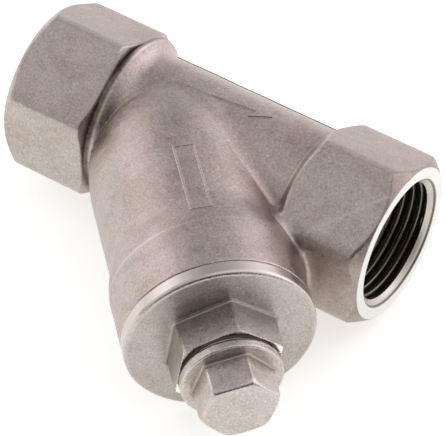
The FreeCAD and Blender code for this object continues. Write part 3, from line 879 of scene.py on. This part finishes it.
def drain_radius(a, ph):
    r = np.interp(ph % 1.0, DX, DRR)
    return np.maximum(np.maximum(r, 6.9 - (60.72 - a)), 6.64 - (a - 49.92))


mesh = threaded("drain_thread", DP, drain_radius, 1.337, 49.92, 60.72, [(49.92, 6.9), (60.3, 6.9), (60.3, 7.2), (60.72, 7.2)], branch, 112, 0.1)
add("drain_thread", mesh, "cap_unit", BRANCH_TURNED)


# ---------------------------------------------------------------------------
# 3. the drain plug
# ---------------------------------------------------------------------------
def plug_shape(x, y, z):
    s, p = to_branch(x, y)
    rb = length2(p, z)
    collar = ri(rb - F(9.65), s - F(63.6), 0.35)
    collar = ri(collar, on_cone(rb, s, 9.15, 61.28, 0.8), 0.15)
    collar = ri(collar, 61.28 - s, 0.1)
    h = turned_hexagon(p, z, 6.8, -18.6, 0.30, 0.012, s - 63.6)
    h = ri(h, on_cone(rb, s, 6.62, 71.0, -1.0), 0.6)
    dome = np.sqrt(rb * rb + (s - 71.0 + 62.0) ** 2) - 62.0
    h = ri(h, dome, 0.45)
    h = np.maximum(h, 62 - s)
    stem = ri(rb - F(5.72), 52.0 - s, 0.6)
    stem = np.maximum(stem, s - 62)
    d = np.minimum(ru(collar, h, 0.5), ru(collar, stem, 0.15))
    return d + waves(x - 3, y + 9, z - 5) * 0.5


lo, hi = at_branch(51.5, 71.4, 10.2)
mesh, v = surface("drain_plug", plug_shape, lo, hi, 0.17, 150000)
add("plug_casting", mesh, "plug_unit", CAST_PLUG, ["drain_plug"])

SP, SR = thread_profile(5.8, 6.56, 0.333)
SX, SRR = SP + [1.0], SR + [SR[0]]


def stem_thread(a, ph):
    r = np.interp(ph % 1.0, SX, SRR)
    r = np.minimum(r, 5.76 + np.clip(a - 52.5, 0, 2) * 0.9)
    return 5.78 + (r - 5.78) * np.clip((61.1 - a) / 0.7, 0, 1)


mesh = threaded("plug_thread", SP, stem_thread, 1.337, 52.55, 61.2, [(52.55, 5.5), (61.2, 5.5)], branch, 112, 0.1)
add("plug_thread", mesh, "plug_unit", BRANCH_TURNED)

# ---------------------------------------------------------------------------
# 4. seals and screen
# ---------------------------------------------------------------------------
mesh = lathe("cap_gasket", rounded([(49.34, 15.45), (49.34, 16.4), (50.5, 16.4), (50.5, 15.05), (49.9, 15.05)], 0.12), branch, 160)
add("cap_gasket_ring", mesh, "cap_seal", PTFE, ["cap_gasket"])
mesh = lathe("plug_gasket", rounded([(60.76, 6.72), (60.76, 8.7), (61.26, 8.7), (61.26, 6.72)], 0.1), branch, 112)
add("plug_gasket_ring", mesh, "plug_seal", PTFE, ["plug_gasket"])


def perforated(name, r_out, r_in, s0, s1, around, hole):
    """Perforated sheet rolled into a tube: staggered round holes, each in its own six-sided cell."""
    pitch = 2 * np.pi * r_out / around
    row = pitch * math.sqrt(3) / 2
    rows = int((s1 - s0 - 2.4) / row)
    first = (s0 + s1) / 2 - (rows - 1) * row / 2
    big = pitch / math.sqrt(3)
    verts, faces, key = [], [], {}

    def vid(u, s, layer):
        k = (int(round(u / pitch * 24)) % (24 * around), int(round(s * 400)), layer)
        if k not in key:
            key[k] = len(verts)
            verts.append((u / r_out, s, r_out if layer == 0 else r_in))
        return key[k]

    m = 12
    for j in range(rows):
        sc = first + j * row
        for i in range(around):
            uc = (i + 0.5 * (j % 2)) * pitch
            loop, inner = [], []
            for k in range(m):
                a = math.radians(90 - 30 * k)
                if k % 2 == 0:
                    du, ds = big * math.cos(a), big * math.sin(a)
                else:
                    du, ds = pitch / 2 * math.cos(a), pitch / 2 * math.sin(a)
                s = sc + ds
                if j == 0 and ds < -big * 0.3:
                    s = s0
                if j == rows - 1 and ds > big * 0.3:
                    s = s1
                loop.append((uc + du, s))
                inner.append((uc + hole / 2 * math.cos(a), sc + hole / 2 * math.sin(a)))
            ids = []
            for layer in (0, 1):
                out = [vid(u, s, layer) for u, s in loop]
                base = len(verts)
                for u, s in inner:
                    verts.append((u / r_out, s, r_out if layer == 0 else r_in))
                ins = list(range(base, base + m))
                ids.append(ins)
                for k in range(m):
                    q = (out[k], out[(k + 1) % m], ins[(k + 1) % m], ins[k])
                    faces.append(q if layer == 0 else q[::-1])
            for k in range(m):
                faces.append((ids[0][k], ids[0][(k + 1) % m], ids[1][(k + 1) % m], ids[1][k]))
            for cond, s in ((j == 0, s0), (j == rows - 1, s1)):
                if cond:
                    ring = [q for q in range(m) if abs(loop[q][1] - s) < 1e-9]
                    ring = sorted(ring, key=lambda q: loop[q][0])
                    for q, w in zip(ring, ring[1:]):
                        a0, a1 = loop[q], loop[w]
                        faces.append((vid(*a0, 0), vid(*a1, 0), vid(*a1, 1), vid(*a0, 1)))
    t = np.array([v[0] for v in verts])
    place = branch(np.array([v[1] for v in verts]), np.array([v[2] for v in verts]), t)
    return finish_mesh(name, place, [list(f) for f in faces], 40)


mesh = perforated("screen_tube", 11.2, 10.7, 5.35, 48.55, 28, 1.55)
add("perforated_tube", mesh, "screen", TUBE_STEEL, ["screen_tube"])


def woven(name, radius, s0, s1, around, wire):
    """Plain weave rolled into a tube: wires along the axis pass over and under the wires round it."""
    pitch = 2 * np.pi * radius / around
    hoops = int((s1 - s0) / pitch)
    hoops -= hoops % 2
    first = (s0 + s1) / 2 - (hoops - 1) * pitch / 2
    amp = wire * 0.48
    half = wire / 2
    verts, faces = [], []

    def tube_along(centres, outs, sides, closed):
        base = len(verts)
        k = len(centres)
        for c, o, sd in zip(centres, outs, sides):
            for q in range(4):
                a = math.pi / 4 + q * math.pi / 2
                verts.append(c + (o * math.sin(a) + sd * math.cos(a)) * half)
        for i in range(k if closed else k - 1):
            j = (i + 1) % k
            for q in range(4):
                w = (q + 1) % 4
                faces.append([base + 4 * i + q, base + 4 * i + w, base + 4 * j + w, base + 4 * j + q])
        if not closed:
            faces.append([base + q for q in (3, 2, 1, 0)])
            faces.append([base + 4 * (k - 1) + q for q in range(4)])

    Pv, Zv, Bv = np.array([C45, C45, 0]), np.array([0, 0, 1.0]), np.array([C45, -C45, 0])
    O = np.array([BX, 0, 0])
    for i in range(around):
        t = 2 * np.pi * i / around
        out = math.cos(t) * Pv + math.sin(t) * Zv
        side = -math.sin(t) * Pv + math.cos(t) * Zv
        ss = [s0] + [first + pitch * j for j in range(hoops)] + [s1]
        rs = [radius] + [radius + amp * (1 if (i + j) % 2 == 0 else -1) for j in range(hoops)] + [radius]
        tube_along([O + Bv * s + out * r for s, r in zip(ss, rs)], [out] * len(ss), [side] * len(ss), False)
    for j in range(hoops):
        s = first + pitch * j
        cs, os_, sd = [], [], []
        for i in range(around):
            t = 2 * np.pi * i / around
            out = math.cos(t) * Pv + math.sin(t) * Zv
            r = radius + amp * (-1 if (i + j) % 2 == 0 else 1)
            cs.append(O + Bv * s + out * r)
            os_.append(out)
            sd.append(Bv)
        tube_along(cs, os_, sd, True)
    return finish_mesh(name, np.array(verts), faces, 60)


mesh = woven("screen_mesh", 10.38, 5.8, 48.1, 78, 0.26)
add("woven_liner", mesh, "screen", WIRE_STEEL, ["screen_mesh"])
ring = [(4.06, 9.7), (4.06, 11.65), (7.3, 11.65), (7.3, 11.22), (5.26, 11.22), (5.26, 9.7)]
mesh = lathe("screen_upper_ring", rounded(ring, [0.2, 0.45, 0.15, 0.05, 0.1, 0.2]), branch, 128)
add("upper_ring", mesh, "screen", RING_STEEL, ["screen_upper_ring"])
ring = [(49.8, 9.7), (49.8, 11.65), (46.6, 11.65), (46.6, 11.22), (48.6, 11.22), (48.6, 9.7)]
mesh = lathe("screen_lower_ring", rounded(ring, [0.2, 0.45, 0.15, 0.05, 0.1, 0.2]), branch, 128)
add("lower_ring", mesh, "screen", RING_STEEL, ["screen_lower_ring"])

# ---------------------------------------------------------------------------
# stage: floor, light, camera
# ---------------------------------------------------------------------------
floor_z = cad_box[0][2]
fm = bpy.data.meshes.new("floor")
w = 3.0
fm.from_pydata([(-w, -w, floor_z), (w, -w, floor_z), (w, w, floor_z), (-w, w, floor_z)], [], [(0, 1, 2, 3)])
floor = bpy.data.objects.new("floor", fm)
bpy.context.scene.collection.objects.link(floor)
fmat, nt, b = mat("floor")
b.inputs["Base Color"].default_value = (0.90, 0.90, 0.90, 1)
b.inputs["Roughness"].default_value = 0.9
b.inputs["Specular IOR Level"].default_value = 0.1
b.inputs["Emission Color"].default_value = (0.992, 1.0, 0.98, 1)
b.inputs["Emission Strength"].default_value = 0.56
fm.materials.append(fmat)

world = bpy.data.worlds.new("studio")
bpy.context.scene.world = world
world.use_nodes = True
wt = world.node_tree
wt.nodes.clear()
wout = wt.nodes.new("ShaderNodeOutputWorld")
back = wt.nodes.new("ShaderNodeBackground")
wt.links.new(back.outputs[0], wout.inputs[0])
wco = wt.nodes.new("ShaderNodeTexCoord").outputs["Generated"]
# soft lights of the studio: direction, sharpness, strength
LOBES = [
    ((-0.19, 0.71, 0.68), 2.5, 0.13), ((0.87, 0.32, 0.37), 6, 0.06), ((0.26, 0.83, 0.49), 6, 0.52),
    ((-0.73, -0.42, 0.54), 6, 0.66), ((0.54, 0.46, 0.70), 6, 0.59), ((0.01, -0.04, 1.00), 6, 0.49),
    ((-0.74, 0.67, 0.05), 12, 0.34), ((-0.45, -0.87, 0.20), 12, 0.25), ((0.91, 0.33, 0.23), 12, 0.35),
    ((-0.89, 0.37, 0.25), 12, 0.44), ((0.29, 0.91, 0.30), 12, 0.50), ((0.69, 0.58, 0.43), 12, 0.10),
    ((-0.89, 0.04, 0.45), 12, 0.60), ((-0.23, -0.65, 0.73), 12, 0.13), ((0.48, -0.04, 0.87), 12, 0.06),
    ((0.21, 0.23, 0.95), 12, 0.04), ((1.00, 0.00, 0.03), 26, 0.16), ((0.61, 0.79, 0.07), 26, 0.67),
    ((-0.98, -0.17, 0.08), 26, 0.33), ((-0.26, 0.96, 0.11), 26, 0.19), ((-0.91, 0.38, 0.15), 26, 0.25),
    ((0.29, 0.94, 0.18), 26, 0.33), ((-0.56, 0.80, 0.22), 26, 0.18), ((0.74, 0.62, 0.25), 26, 0.40),
    ((-0.96, 0.04, 0.26), 26, 0.25), ((-0.04, 0.96, 0.29), 26, 0.18), ((-0.61, -0.73, 0.30), 26, 0.17),
    ((0.94, 0.13, 0.32), 26, 0.14), ((0.46, 0.81, 0.36), 26, 0.48), ((-0.88, -0.28, 0.37), 26, 0.24),
    ((-0.35, 0.85, 0.40), 26, 0.09), ((-0.31, -0.86, 0.41), 26, 0.15), ((-0.87, 0.23, 0.44), 26, 0.15),
    ((0.46, -0.26, 0.85), 26, 0.04), ((-0.20, -0.44, 0.88), 26, 0.07), ((0.19, -0.35, 0.92), 26, 0.14),
    ((0.09, 0.35, 0.93), 26, 0.15), ((0.28, -0.05, 0.96), 26, 0.11),
]
total = None
for d, k, s in LOBES:
    d = Vector(d).normalized()
    dot = wt.nodes.new("ShaderNodeVectorMath")
    dot.operation = "DOT_PRODUCT"
    wt.links.new(wco, dot.inputs[0])
    dot.inputs[1].default_value = d
    e = math_node(wt, "MULTIPLY", math_node(wt, "SUBTRACT", dot.outputs["Value"], 1.0), k)
    e = math_node(wt, "MULTIPLY", math_node(wt, "EXPONENT", e), s)
    total = e if total is None else math_node(wt, "ADD", total, e)
wt.links.new(total, back.inputs["Strength"])
back.inputs["Color"].default_value = (1.0, 1.0, 1.0, 1)

cam = bpy.data.cameras.new("camera")
cam.sensor_width = 36.0
cam.lens = 3439.25 * 36.0 / 446.0
cam.clip_start, cam.clip_end = 0.01, 20.0
co = bpy.data.objects.new("camera", cam)
bpy.context.scene.collection.objects.link(co)
right = Vector((0.84004458, 0.54251065, -0.002702))
up = Vector((-0.40212467, 0.62599323, 0.66815285))
backv = Vector((0.36417147, -0.56019163, 0.74401913))
m = Matrix.Identity(4)
for i in range(3):
    m[i][0], m[i][1], m[i][2] = right[i], up[i], backv[i]
m[0][3], m[1][3], m[2][3] = 285.01027 * MM, -376.32207 * MM, 483.16608 * MM
co.matrix_world = m
bpy.context.scene.camera = co
bpy.context.scene.view_settings.view_transform = "Standard"
